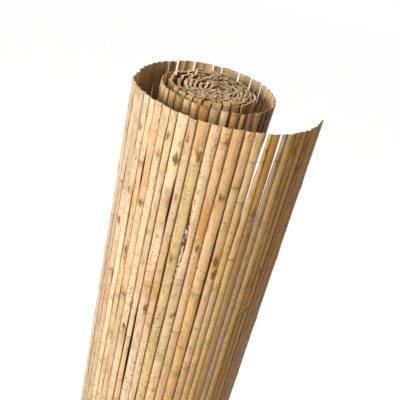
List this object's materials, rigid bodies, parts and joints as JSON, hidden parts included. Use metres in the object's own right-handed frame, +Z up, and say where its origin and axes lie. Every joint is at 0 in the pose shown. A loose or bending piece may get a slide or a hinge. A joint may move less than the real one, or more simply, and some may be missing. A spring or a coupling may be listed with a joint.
{
  "type": "split reed screening",
  "caption": "Garden screening rolled up on its end: upright split reeds bound side by side with wire, wound into a tight core with the outer turn sprung loose.",
  "frame": {"origin": "middle of the roll's box at floor level, under the lower ends of the reeds", "axes": "+Z up along the reeds, +X towards the free edge of the mat, -Y towards the side that the picture shows"},
  "size_m": [0.2204, 0.1989, 1],
  "materials": {
    "split_reed": "dry matt reed with a faint natural gloss",
    "binding_wire": "dull galvanised wire"
  },
  "bodies": {
    "root": {"reed_mat": "split_reed", "binding_wire_1": "binding_wire", "binding_wire_2": "binding_wire", "binding_wire_3": "binding_wire", "binding_wire_4": "binding_wire", "binding_wire_5": "binding_wire", "binding_wire_6": "binding_wire", "binding_wire_7": "binding_wire", "binding_wire_8": "binding_wire", "binding_wire_9": "binding_wire"}
  },
  "joints": []
}
